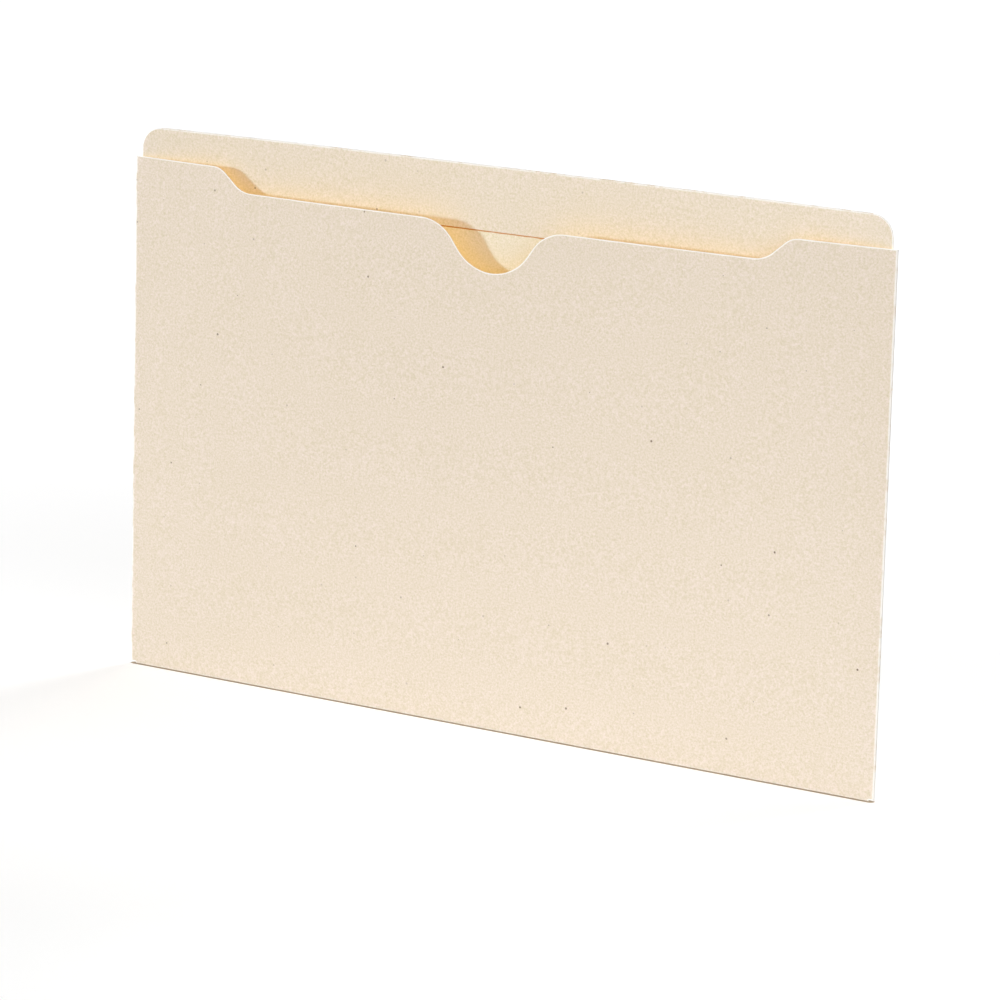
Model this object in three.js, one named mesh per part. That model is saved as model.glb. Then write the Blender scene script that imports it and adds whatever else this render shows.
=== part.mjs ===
// A flat file jacket, legal size, folded and glued from one sheet of manila card.
// Units are millimetres, +Z is up and +X is the width. The front of the pocket faces -Y.
// The sheet is shown as its panels and folds. The front panel and two narrow flaps come
// from one end of the sheet, and the back panel, which is taller and ends in the tab, from
// the other. The flaps are folded in behind the front, and the back panel is glued on them.
import * as THREE from 'three';

// Card and glue
const cardThickness = 0.28;
const glueThickness = 0.05;
const glueMargin = 1.5;
const seamGap = 0.03;

// Outline of the whole jacket
const jacketWidth = 374.65;
const jacketHeight = 241.3;
const tabRise = 13.3;
const tabInset = 2.8;
const tabCornerRadius = 9.5;
const tabPlyHeight = 27.6;

// Top edge of the front panel: shoulders, undercut and thumb cut
const shoulderLength = 43.1;
const undercutDepth = 10;
const rampAngle = THREE.MathUtils.degToRad(40);
const rampFootRadius = 13;
const rampHeadRadius = 10;
const thumbCutDepth = 20.3;
const thumbCutRadius = 21.5;
const thumbRimRadius = 18.8;
const thumbWallAngle = THREE.MathUtils.degToRad(54);

// Side flaps
const flapWidth = 19;
const flapFootSlope = 0.1;
const flapMitreClearance = 1.2;

// Folds, and how far the two panels bow apart at the mouth
const foldInnerRadius = 0.15;
const frontBow = 5.5;
const backBow = 4.5;

// The front bends along two slanted lines when the mouth opens
const bendTopX = 80;
const bendGap = 0.3;
const hingeGap = 0.15;
const bluntTip = 1;

// Fineness of the bowed sheets
const columnStep = 20;
const arcSteps = 4;
const foldSegments = 5;
const bandRows = 2;
const backBandRows = 5;
const frontRows = 8;
const sharedLevels = [2, 5, 10, 20, 38, 65, 100, 140, 180];
const nearFoldColumns = [2, 5, 10];
const closestColumns = 0.3;

// Places that follow from the sizes
const halfWidth = jacketWidth / 2;
const shoulderHeight = jacketHeight - tabRise;
const undercutHeight = shoulderHeight - undercutDepth;
const foldOuterRadius = foldInnerRadius + cardThickness;
const foldLineX = halfWidth - foldOuterRadius;
const tabHalfWidth = halfWidth - tabInset;
const tabCornerX = tabHalfWidth - tabCornerRadius;
const flapEdgeX = halfWidth - flapWidth;
const plyFootHeight = jacketHeight - tabPlyHeight;

// Layers from front to back, along Y from the axis of the side folds
const frontInnerY = -foldInnerRadius;
const frontOuterY = -foldOuterRadius;
const glueFrontY = foldOuterRadius + seamGap;
const glueRearY = glueFrontY + glueThickness;
const backInnerY = glueRearY + seamGap;
const backOuterY = backInnerY + cardThickness;

// The bottom fold reaches from the front's outer face to the back's outer face
const bottomOuterRadius = (backOuterY - frontOuterY) / 2;
const bottomInnerRadius = bottomOuterRadius - cardThickness;
const bottomAxisY = backOuterY - bottomOuterRadius;
const bottomAxisZ = bottomOuterRadius;

// The fold along the top of the tab turns the sheet over onto its inner face
const tabFoldInnerRadius = (backInnerY - foldOuterRadius) / 2;
const tabFoldOuterRadius = tabFoldInnerRadius + cardThickness;
const tabFoldAxisZ = jacketHeight - tabFoldOuterRadius;

// Each slanted bend runs from a bottom corner to the undercut
const bendSlope = (shoulderHeight - bottomAxisZ) / (foldLineX - bendTopX);
const bendHalfGap = (bendGap / 2) * Math.hypot(1, bendSlope);

const cardColour = 0xe9dcc4;
const insideColour = 0xecd9b4;
const glueColour = 0xd8cfae;

// How far a panel has bowed at a point, as a share of the bow at the middle of the mouth.
// The bow is a cone at each bottom corner and flat between them, so the card only bends.
function bowShare(x, z) {
  const height = Math.max(z - bottomAxisZ, 0);
  const fullHeight = shoulderHeight - bottomAxisZ;
  const fromSide = Math.max(foldLineX - Math.abs(x), 0);
  const reach = (height / fullHeight) * foldLineX;
  const share = reach > fromSide ? fromSide / reach : 1;
  return (height / fullHeight) * (1 - (1 - share) ** 2);
}

// Height of the front panel's top edge at a distance from the middle
function frontTop(x) {
  const distance = Math.abs(x);
  const rim = thumbRim();
  if (distance < rim.touchX) {
    return rim.cutAxisZ - Math.sqrt(thumbCutRadius ** 2 - distance ** 2);
  }
  if (distance < rim.wallTopX) {
    return rim.touchZ + (distance - rim.touchX) * Math.tan(thumbWallAngle);
  }
  if (distance < rim.axisX) {
    return rim.axisZ + Math.sqrt(thumbRimRadius ** 2 - (rim.axisX - distance) ** 2);
  }
  return rampTop(distance);
}

// Where the thumb cut's round bottom, its slanted walls and the rounded rims beside it meet
function thumbRim() {
  const arcRise = (thumbCutRadius + thumbRimRadius) * (1 - Math.cos(thumbWallAngle));
  const cutAxisZ = undercutHeight - thumbCutDepth + thumbCutRadius;
  const touchX = thumbCutRadius * Math.sin(thumbWallAngle);
  const touchZ = cutAxisZ - thumbCutRadius * Math.cos(thumbWallAngle);
  const wallTopX = touchX + (thumbCutDepth - arcRise) / Math.tan(thumbWallAngle);
  const axisX = wallTopX + thumbRimRadius * Math.sin(thumbWallAngle);
  const axisZ = undercutHeight - thumbRimRadius;
  return { cutAxisZ, touchX, touchZ, wallTopX, axisX, axisZ };
}

// The S-shaped ramp from the undercut up to a shoulder
function rampTop(distance) {
  const ramp = shoulderRamp();
  if (distance >= ramp.headX) {
    return shoulderHeight;
  }
  if (distance > ramp.headX - ramp.headRun) {
    const drop = rampHeadRadius - Math.sqrt(rampHeadRadius ** 2 - (ramp.headX - distance) ** 2);
    return shoulderHeight - drop;
  }
  if (distance <= ramp.footX) {
    return undercutHeight;
  }
  if (distance < ramp.footX + ramp.footRun) {
    const rise = rampFootRadius - Math.sqrt(rampFootRadius ** 2 - (distance - ramp.footX) ** 2);
    return undercutHeight + rise;
  }
  const footRise = rampFootRadius * (1 - Math.cos(rampAngle));
  const along = distance - ramp.footX - ramp.footRun;
  return undercutHeight + footRise + along * Math.tan(rampAngle);
}

// Where the ramp starts and ends, and how much of it its two arcs take
function shoulderRamp() {
  const footRun = rampFootRadius * Math.sin(rampAngle);
  const headRun = rampHeadRadius * Math.sin(rampAngle);
  const arcRise = (rampFootRadius + rampHeadRadius) * (1 - Math.cos(rampAngle));
  const straightRun = (undercutDepth - arcRise) / Math.tan(rampAngle);
  const headX = halfWidth - shoulderLength;
  const footX = headX - headRun - straightRun - footRun;
  return { footRun, headRun, headX, footX };
}

// Height of the tab's rounded outline, a little lower where the top fold sits on it
function tabTop(x) {
  const top = tabFoldAxisZ - seamGap;
  const past = Math.abs(x) - tabCornerX;
  if (past <= 0) {
    return top;
  }
  return top - tabCornerRadius + Math.sqrt(Math.max(tabCornerRadius ** 2 - past ** 2, 0));
}

// A flap is cut at 45 degrees at its top, and the tab's inner ply is cut to match
function flapTop(x) {
  return shoulderHeight - (foldLineX - Math.abs(x));
}

function flapFoot(x) {
  return bottomAxisZ + hingeGap + flapFootSlope * (foldLineX - Math.abs(x));
}

function plyFoot(x) {
  return Math.max(plyFootHeight, flapTop(x) + flapMitreClearance);
}

// Height of the slanted bend at a distance from the middle, and its distance at a height
function bendHeight(x) {
  return bottomAxisZ + bendSlope * (foldLineX - Math.abs(x));
}

function bendX(height) {
  return foldLineX - (height - bottomAxisZ) / bendSlope;
}

// Distances from the middle at which an arc of the outline has a corner
function arcStations(axisX, radius, direction, endAngle) {
  return Array.from({ length: arcSteps + 1 }, (_, i) => {
    return axisX + direction * radius * Math.sin((endAngle * i) / arcSteps);
  });
}

function frontStations() {
  const rim = thumbRim();
  const ramp = shoulderRamp();
  return [
    ...arcStations(0, thumbCutRadius, 1, thumbWallAngle),
    ...arcStations(rim.axisX, thumbRimRadius, -1, thumbWallAngle),
    ...arcStations(ramp.footX, rampFootRadius, 1, rampAngle),
    ...arcStations(ramp.headX, rampHeadRadius, -1, rampAngle),
    ...nearFoldColumns.map((inset) => foldLineX - inset),
    bendX(undercutHeight + bendHalfGap),
  ];
}

function rearStations() {
  const plyCornerX = foldLineX - (shoulderHeight + flapMitreClearance - plyFootHeight);
  return [
    ...arcStations(tabCornerX, tabCornerRadius, 1, Math.PI / 2),
    ...nearFoldColumns.map((inset) => foldLineX - inset),
    flapEdgeX,
    plyCornerX,
  ];
}

// Column places over a half width: the stations, with wide gaps between them filled in
function halfColumns(stations) {
  const sorted = [0, ...stations, foldLineX].sort((a, b) => a - b);
  const kept = sorted.filter((x, i) => i === 0 || x - sorted[i - 1] > closestColumns || x === foldLineX);
  const filled = kept.slice(0, 1);
  kept.slice(1).forEach((x, i) => {
    const start = kept[i];
    const parts = Math.ceil((x - start) / columnStep);
    for (let part = 1; part <= parts; part += 1) {
      filled.push(start + ((x - start) * part) / parts);
    }
  });
  return filled;
}

const frontColumns = mirrored(halfColumns(frontStations()));
const rearColumns = mirrored(halfColumns(rearStations()));

function mirrored(half) {
  const left = half.slice(1).reverse().map((x) => -x);
  return [...left, ...half];
}

// The columns strictly between two places, with those places as the ends
function columnsBetween(all, from, to) {
  const inner = all.filter((x) => x > from + closestColumns && x < to - closestColumns);
  return [from, ...inner, to];
}

// The same row heights in every column where the sheet allows it, then an even band to the top
function rowHeights(x, low, high, shared, rows) {
  const start = shared.length > 0 ? shared[shared.length - 1] : low(x);
  const band = Array.from({ length: rows }, (_, i) => start + ((high(x) - start) * (i + 1)) / rows);
  return [low(x), ...shared, ...band];
}

// A bowed sheet between two outlines and two layers of the jacket, as one closed solid
function sheetGeometry({ columns, low, high, nearY, farY, bow, rows = bandRows }) {
  const floor = Math.max(...columns.map(low));
  const ceiling = Math.min(...columns.map(high));
  const shared = sharedLevels.filter((z) => z > floor + closestColumns && z < ceiling - closestColumns);
  const points = [];
  columns.forEach((x) => {
    rowHeights(x, low, high, shared, rows).forEach((z) => {
      const bowed = bow * bowShare(x, z);
      points.push(x, nearY + bowed, z, x, farY + bowed, z);
    });
  });
  return closedGrid(points, columns.length, shared.length + rows + 1);
}

// Joins a grid of near and far points into a closed mesh with its faces pointing out
function closedGrid(points, columnCount, rowCount) {
  const near = (column, row) => 2 * (column * rowCount + row);
  const far = (column, row) => near(column, row) + 1;
  const faces = [];
  const quad = (a, b, c, d) => faces.push(a, b, c, a, c, d);
  for (let c = 0; c + 1 < columnCount; c += 1) {
    for (let r = 0; r + 1 < rowCount; r += 1) {
      quad(near(c, r), near(c + 1, r), near(c + 1, r + 1), near(c, r + 1));
      quad(far(c, r), far(c, r + 1), far(c + 1, r + 1), far(c + 1, r));
    }
    const top = rowCount - 1;
    quad(near(c, 0), far(c, 0), far(c + 1, 0), near(c + 1, 0));
    quad(near(c, top), near(c + 1, top), far(c + 1, top), far(c, top));
  }
  const last = columnCount - 1;
  for (let r = 0; r + 1 < rowCount; r += 1) {
    quad(near(0, r), near(0, r + 1), far(0, r + 1), far(0, r));
    quad(near(last, r), far(last, r), far(last, r + 1), near(last, r + 1));
  }
  const geometry = new THREE.BufferGeometry();
  geometry.setAttribute('position', new THREE.Float32BufferAttribute(points, 3));
  geometry.setIndex(faces);
  geometry.computeVertexNormals();
  return geometry;
}

// Half a ring, open side up the second axis, for a straight fold
function halfRingShape(innerRadius, outerRadius) {
  const shape = new THREE.Shape();
  shape.absarc(0, 0, outerRadius, Math.PI, 2 * Math.PI, false);
  shape.absarc(0, 0, innerRadius, 2 * Math.PI, Math.PI, true);
  shape.closePath();
  return shape;
}

function straightFold(innerRadius, outerRadius, length) {
  const options = { depth: length, bevelEnabled: false, curveSegments: foldSegments };
  const geometry = new THREE.ExtrudeGeometry(halfRingShape(innerRadius, outerRadius), options);
  geometry.translate(0, 0, -length / 2);
  return geometry;
}

// The fold along the tab's top edge, which follows the bow of the back panel
function tabFoldGeometry() {
  const columns = columnsBetween(rearColumns, -tabCornerX, tabCornerX);
  const points = [];
  columns.forEach((x) => {
    const axisY = backInnerY - tabFoldInnerRadius + backBow * bowShare(x, tabFoldAxisZ);
    for (let i = 0; i <= foldSegments; i += 1) {
      const angle = (Math.PI * i) / foldSegments;
      const across = -Math.cos(angle);
      const up = Math.sin(angle);
      points.push(x, axisY + tabFoldOuterRadius * across, tabFoldAxisZ + tabFoldOuterRadius * up);
      points.push(x, axisY + tabFoldInnerRadius * across, tabFoldAxisZ + tabFoldInnerRadius * up);
    }
  });
  return closedGrid(points, columns.length, foldSegments + 1);
}

function cardMaterial(colour) {
  return new THREE.MeshStandardMaterial({ color: colour, roughness: 0.85, metalness: 0 });
}

const outsideCard = cardMaterial(cardColour);
const insideCard = cardMaterial(insideColour);
const driedGlue = new THREE.MeshStandardMaterial({ color: glueColour, roughness: 0.5, metalness: 0 });

function addPiece(group, name, geometry, material) {
  const mesh = new THREE.Mesh(geometry, material);
  mesh.name = name;
  group.add(mesh);
  return mesh;
}

// Back panel with the tab along its top, and what is folded and glued on the tab
function addBack(group) {
  const panel = sheetGeometry({
    columns: columnsBetween(rearColumns, -tabHalfWidth, tabHalfWidth),
    low: () => bottomAxisZ + seamGap,
    high: tabTop,
    nearY: backInnerY,
    farY: backOuterY,
    bow: backBow,
    rows: backBandRows,
  });
  addPiece(group, 'back_panel', panel, outsideCard);

  const ply = sheetGeometry({
    columns: columnsBetween(rearColumns, -tabHalfWidth, tabHalfWidth),
    low: plyFoot,
    high: tabTop,
    nearY: foldInnerRadius,
    farY: foldOuterRadius,
    bow: backBow,
  });
  addPiece(group, 'tab_inner_ply', ply, outsideCard);

  const glue = sheetGeometry({
    columns: columnsBetween(rearColumns, glueMargin - tabCornerX, tabCornerX - glueMargin),
    low: (x) => plyFoot(x) + glueMargin,
    high: (x) => tabTop(x) - glueMargin,
    nearY: glueFrontY,
    farY: glueRearY,
    bow: backBow,
  });
  addPiece(group, 'tab_glue', glue, driedGlue);
  addPiece(group, 'tab_top_fold', tabFoldGeometry(), outsideCard);
}

// The fold under the pocket, as wide as the back panel
function addBottomFold(group) {
  const fold = straightFold(bottomInnerRadius, bottomOuterRadius, 2 * tabHalfWidth);
  const across = new THREE.Matrix4().makeBasis(
    new THREE.Vector3(0, 1, 0),
    new THREE.Vector3(0, 0, 1),
    new THREE.Vector3(1, 0, 0),
  );
  fold.applyMatrix4(across);
  const mesh = addPiece(group, 'bottom_fold', fold, outsideCard);
  mesh.position.set(0, bottomAxisY, bottomAxisZ);
}

// On each side: the upright fold, the flap behind the front, and the glue that holds the back
function addSide(group, side, sign) {
  const foot = bottomAxisZ + hingeGap;
  const fold = straightFold(foldInnerRadius, foldOuterRadius, shoulderHeight - foot);
  fold.rotateZ((sign * Math.PI) / 2);
  const foldMesh = addPiece(group, `${side}_side_fold`, fold, outsideCard);
  foldMesh.position.set(sign * foldLineX, 0, (shoulderHeight + foot) / 2);

  const flap = sheetGeometry({
    columns: sideColumns(rearColumns, sign, flapEdgeX, foldLineX - seamGap),
    low: flapFoot,
    high: flapTop,
    nearY: foldInnerRadius,
    farY: foldOuterRadius,
    bow: backBow,
  });
  addPiece(group, `${side}_flap`, flap, insideCard);

  const glue = sheetGeometry({
    columns: sideColumns(rearColumns, sign, flapEdgeX + glueMargin, tabHalfWidth - glueMargin),
    low: (x) => flapFoot(x) + glueMargin,
    high: (x) => flapTop(x) - glueMargin,
    nearY: glueFrontY,
    farY: glueRearY,
    bow: backBow,
  });
  addPiece(group, `${side}_flap_glue`, glue, driedGlue);
}

// Columns between two distances from the middle, on one side
function sideColumns(all, sign, inner, outer) {
  return sign > 0 ? columnsBetween(all, inner, outer) : columnsBetween(all, -outer, -inner);
}

// The middle of the front, which swings on the bottom fold
function addFrontCentre(group) {
  const foot = bottomAxisZ + hingeGap;
  const reach = bendX(foot + bluntTip + bendHalfGap);
  const centre = sheetGeometry({
    columns: columnsBetween(frontColumns, -reach, reach),
    low: () => foot,
    high: (x) => Math.min(frontTop(x), bendHeight(x) - bendHalfGap),
    nearY: frontOuterY,
    farY: frontInnerY,
    bow: -frontBow,
    rows: frontRows,
  });
  addPiece(group, 'front_panel_centre', centre, outsideCard);
}

// A side of the front, which swings on its upright side fold
function addFrontSide(group, side, sign) {
  const tipX = bendX(undercutHeight - bluntTip - bendHalfGap);
  const panel = sheetGeometry({
    columns: sideColumns(frontColumns, sign, tipX, foldLineX - hingeGap),
    low: (x) => bendHeight(x) + bendHalfGap,
    high: frontTop,
    nearY: frontOuterY,
    farY: frontInnerY,
    bow: -frontBow,
    rows: frontRows,
  });
  addPiece(group, `front_panel_${side}_side`, panel, outsideCard);
}

// Moves the jacket so that its middle, from front to back, is at Y = 0
function centreOnY(group) {
  const box = new THREE.Box3().setFromObject(group);
  group.position.y = -(box.min.y + box.max.y) / 2;
  group.updateMatrixWorld(true);
}

function fileJacket() {
  const jacket = new THREE.Group();
  addBack(jacket);
  addBottomFold(jacket);
  addFrontCentre(jacket);
  for (const [side, sign] of [['left', -1], ['right', 1]]) {
    addSide(jacket, side, sign);
    addFrontSide(jacket, side, sign);
  }
  centreOnY(jacket);
  return jacket;
}

export default fileJacket();
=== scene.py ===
"""Looks of a flat file jacket of manila card: bowed panels, folds, glued flaps and studio light."""

import logging
import math
from dataclasses import dataclass, field
from enum import Enum
from typing import Callable, Optional, Sequence

import bmesh
import bpy
import numpy as np
from mathutils import Matrix, Vector


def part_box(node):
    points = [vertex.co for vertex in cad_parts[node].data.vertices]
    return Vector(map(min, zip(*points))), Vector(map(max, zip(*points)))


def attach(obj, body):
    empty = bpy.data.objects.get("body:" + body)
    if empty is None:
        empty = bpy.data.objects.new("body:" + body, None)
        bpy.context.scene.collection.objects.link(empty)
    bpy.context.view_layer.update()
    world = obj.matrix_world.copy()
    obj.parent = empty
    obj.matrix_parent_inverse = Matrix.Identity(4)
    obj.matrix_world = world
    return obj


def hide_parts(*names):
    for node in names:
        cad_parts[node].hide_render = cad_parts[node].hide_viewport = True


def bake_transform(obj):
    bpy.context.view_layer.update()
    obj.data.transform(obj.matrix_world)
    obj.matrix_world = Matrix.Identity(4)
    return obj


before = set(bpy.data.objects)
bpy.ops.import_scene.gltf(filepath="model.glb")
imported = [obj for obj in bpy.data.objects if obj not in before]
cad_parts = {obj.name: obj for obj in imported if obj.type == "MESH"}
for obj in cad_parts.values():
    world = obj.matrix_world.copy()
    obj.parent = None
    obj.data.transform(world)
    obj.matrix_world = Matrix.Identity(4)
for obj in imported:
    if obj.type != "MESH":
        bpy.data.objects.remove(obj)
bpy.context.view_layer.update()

MM = 0.001
log = logging.getLogger("file_jacket")

Colour = tuple[float, float, float]
Outline = Callable[[float], float]

# The distance on the pattern, in millimetres, within which a place lies on a line.
ON_LINE = 1e-3
# A small length that keeps a divisor off 0 and a comparison off its edge.
HAIR = 1e-6


class Side(Enum):
    """The two sides of the jacket, with the sign of their X."""

    LEFT = -1
    RIGHT = 1


class Layer(Enum):
    """Which way a sheet of card faces, and the sign of its outward Y."""

    FRONT = -1
    REAR = 1


# --------------------------------------------------------------------------- sizes


def half_chord(radius: float, off: float) -> float:
    """Half the chord of a circle at a distance from its centre, or 0 outside the circle."""
    return math.sqrt(max(radius**2 - off**2, 0))


@dataclass(frozen=True)
class JacketPlan:
    """Sizes of the flat pattern and its folds, in millimetres, from the CAD part."""

    card: float = 0.28
    glue: float = 0.05
    glue_margin: float = 1.5
    seam_gap: float = 0.03
    width: float = 374.65
    height: float = 241.3
    tab_rise: float = 13.3
    tab_inset: float = 2.8
    tab_corner: float = 9.5
    tab_ply: float = 27.6
    shoulder: float = 43.1
    undercut: float = 10.0
    ramp_angle: float = math.radians(40)
    ramp_foot: float = 13.0
    ramp_head: float = 10.0
    thumb_depth: float = 20.3
    thumb_radius: float = 21.5
    thumb_rim: float = 18.8
    thumb_wall: float = math.radians(54)
    flap_width: float = 19.0
    flap_slope: float = 0.1
    flap_mitre_gap: float = 1.2
    hinge_gap: float = 0.15
    fold_inner: float = 0.15
    front_bow: float = 5.5
    back_bow: float = 4.5
    bow_roundness: float = 2.6
    bend_top: float = 80.0

    @property
    def shoulder_z(self) -> float:
        """Height of the front's shoulders."""
        return self.height - self.tab_rise

    @property
    def undercut_z(self) -> float:
        """Height of the front's top edge between the shoulders."""
        return self.shoulder_z - self.undercut

    @property
    def fold_outer(self) -> float:
        """Outer radius of a side fold."""
        return self.fold_inner + self.card

    @property
    def fold_x(self) -> float:
        """Distance from the middle to the axis of a side fold."""
        return self.width / 2 - self.fold_outer

    @property
    def tab_half(self) -> float:
        """Half the width of the back panel and its tab."""
        return self.width / 2 - self.tab_inset

    @property
    def tab_corner_x(self) -> float:
        """Distance from the middle at which a tab corner starts."""
        return self.tab_half - self.tab_corner

    @property
    def flap_edge_x(self) -> float:
        """Distance from the middle to a flap's inner edge."""
        return self.width / 2 - self.flap_width

    @property
    def ply_foot_z(self) -> float:
        """Height of the lower edge of the tab's inner ply."""
        return self.height - self.tab_ply

    @property
    def glue_y(self) -> float:
        """Front face of the glue films, from the axis of the side folds."""
        return self.fold_outer + self.seam_gap

    @property
    def back_inner_y(self) -> float:
        """Inner face of the back panel."""
        return self.glue_y + self.glue + self.seam_gap

    @property
    def back_outer_y(self) -> float:
        """Outer face of the back panel."""
        return self.back_inner_y + self.card

    @property
    def bottom_radius(self) -> float:
        """Outer radius of the bottom fold, and the height of its axis."""
        return (self.back_outer_y + self.fold_outer) / 2

    @property
    def tab_fold_radius(self) -> float:
        """Outer radius of the fold along the top of the tab."""
        return (self.back_inner_y - self.fold_outer) / 2 + self.card

    @property
    def tab_fold_z(self) -> float:
        """Height of the axis of the fold along the top of the tab."""
        return self.height - self.tab_fold_radius

    @property
    def bottom_quarter(self) -> float:
        """Length of one sheet's half of the bottom fold, which lies below 0 on the pattern."""
        return math.pi / 2 * self.bottom_radius

    @property
    def tab_fold_line(self) -> float:
        """Height on the pattern at which the fold along the top of the tab starts."""
        return self.tab_fold_z - self.bottom_radius

    @property
    def tab_turn(self) -> float:
        """Length of the fold along the top of the tab."""
        return math.pi * self.tab_fold_radius

    def unfolded(self, z: float) -> float:
        """Height on the pattern of a place on the tab's inner ply at height z."""
        return 2 * self.tab_fold_line + self.tab_turn - (z - self.bottom_radius)

    def ramp(self) -> tuple[float, float, float, float]:
        """Where the ramp up to a shoulder runs.

        Returns:
            The distances from the middle at which its foot arc starts, its straight part
            starts and ends, and its head arc ends.
        """
        foot_run = self.ramp_foot * math.sin(self.ramp_angle)
        head_run = self.ramp_head * math.sin(self.ramp_angle)
        arc_rise = (self.ramp_foot + self.ramp_head) * (1 - math.cos(self.ramp_angle))
        straight = (self.undercut - arc_rise) / math.tan(self.ramp_angle)
        head = self.width / 2 - self.shoulder
        foot = head - head_run - straight - foot_run
        return foot, foot + foot_run, head - head_run, head

    def rim(self) -> tuple[float, float, float]:
        """Where the thumb cut's parts meet.

        Returns:
            The distances from the middle at which its round bottom ends, its slanted wall
            ends, and its rounded rim ends.
        """
        touch = self.thumb_radius * math.sin(self.thumb_wall)
        arc_rise = (self.thumb_radius + self.thumb_rim) * (1 - math.cos(self.thumb_wall))
        wall_top = touch + (self.thumb_depth - arc_rise) / math.tan(self.thumb_wall)
        return touch, wall_top, wall_top + self.thumb_rim * math.sin(self.thumb_wall)

    def front_top(self, x: float) -> float:
        """Height of the front's top edge.

        Args:
            x: Place across the width.

        Returns:
            The height of the edge there.
        """
        far = abs(x)
        touch, wall_top, rim_end = self.rim()
        foot, straight, bend, head = self.ramp()
        cut_z = self.undercut_z - self.thumb_depth + self.thumb_radius
        if far < touch:
            return cut_z - half_chord(self.thumb_radius, far)
        if far < wall_top:
            low = cut_z - self.thumb_radius * math.cos(self.thumb_wall)
            return low + (far - touch) * math.tan(self.thumb_wall)
        if far < rim_end:
            return self.undercut_z - self.thumb_rim + half_chord(self.thumb_rim, rim_end - far)
        if far <= foot:
            return self.undercut_z
        if far < straight:
            return self.undercut_z + self.ramp_foot - half_chord(self.ramp_foot, far - foot)
        if far < bend:
            rise = self.ramp_foot * (1 - math.cos(self.ramp_angle))
            return self.undercut_z + rise + (far - straight) * math.tan(self.ramp_angle)
        if far < head:
            return self.shoulder_z - self.ramp_head + half_chord(self.ramp_head, head - far)
        return self.shoulder_z

    def tab_top(self, x: float) -> float:
        """Height of the tab's outline where it is cut, or of its fold line.

        Args:
            x: Place across the width.

        Returns:
            The height of the outline there.
        """
        past = abs(x) - self.tab_corner_x
        if past <= 0:
            return self.tab_fold_z
        return self.tab_fold_z - self.tab_corner + half_chord(self.tab_corner, past)

    def flap_top(self, x: float) -> float:
        """Height of a flap's mitred top edge at a place across the width."""
        return self.shoulder_z - (self.fold_x - abs(x))

    def flap_foot(self, x: float) -> float:
        """Height of a flap's lower edge at a place across the width."""
        return self.bottom_radius + self.hinge_gap + self.flap_slope * (self.fold_x - abs(x))

    def ply_foot(self, x: float) -> float:
        """Height of the lower edge of the tab's inner ply at a place across the width."""
        return max(self.ply_foot_z, self.flap_top(x) + self.flap_mitre_gap)


PLAN = JacketPlan()
FOLD_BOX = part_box("bottom_fold")
# The CAD part is centred front to back on its box, so its layers are moved by this much.
LAYER_SHIFT = (FOLD_BOX[0].y / MM + FOLD_BOX[1].y / MM) / 2 - (PLAN.back_outer_y - PLAN.bottom_radius)


# --------------------------------------------------------------------------- node trees


class Term:
    """A node's output. Plain arithmetic on it adds Math nodes, so that a rule reads like a sum."""

    def __init__(self, desk: "NodeDesk", socket: bpy.types.NodeSocket) -> None:
        """Keeps the output and the desk of its tree."""
        self.desk = desk
        self.socket = socket

    def math(self, operation: str, *others: object) -> "Term":
        """Adds a Math node whose first value is this term."""
        return self.desk.math(operation, self, *others)

    def __add__(self, other: object) -> "Term":
        """This term plus another value."""
        return self.math("ADD", other)

    def __radd__(self, other: float) -> "Term":
        """A number plus this term."""
        return self.desk.math("ADD", other, self)

    def __sub__(self, other: object) -> "Term":
        """This term less another value."""
        return self.math("SUBTRACT", other)

    def __rsub__(self, other: float) -> "Term":
        """A number less this term."""
        return self.desk.math("SUBTRACT", other, self)

    def __mul__(self, other: object) -> "Term":
        """This term times another value."""
        return self.math("MULTIPLY", other)

    def __truediv__(self, other: object) -> "Term":
        """This term over another value."""
        return self.math("DIVIDE", other)

    def __rtruediv__(self, other: float) -> "Term":
        """A number over this term."""
        return self.desk.math("DIVIDE", other, self)

    def __pow__(self, other: object) -> "Term":
        """This term raised to a power."""
        return self.math("POWER", other)

    def __abs__(self) -> "Term":
        """This term without its sign."""
        return self.math("ABSOLUTE")

    def at_least(self, low: object) -> "Term":
        """This term, or the low value where that is more."""
        return self.math("MAXIMUM", low)

    def at_most(self, high: object) -> "Term":
        """This term, or the high value where that is less."""
        return self.math("MINIMUM", high)


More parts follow.
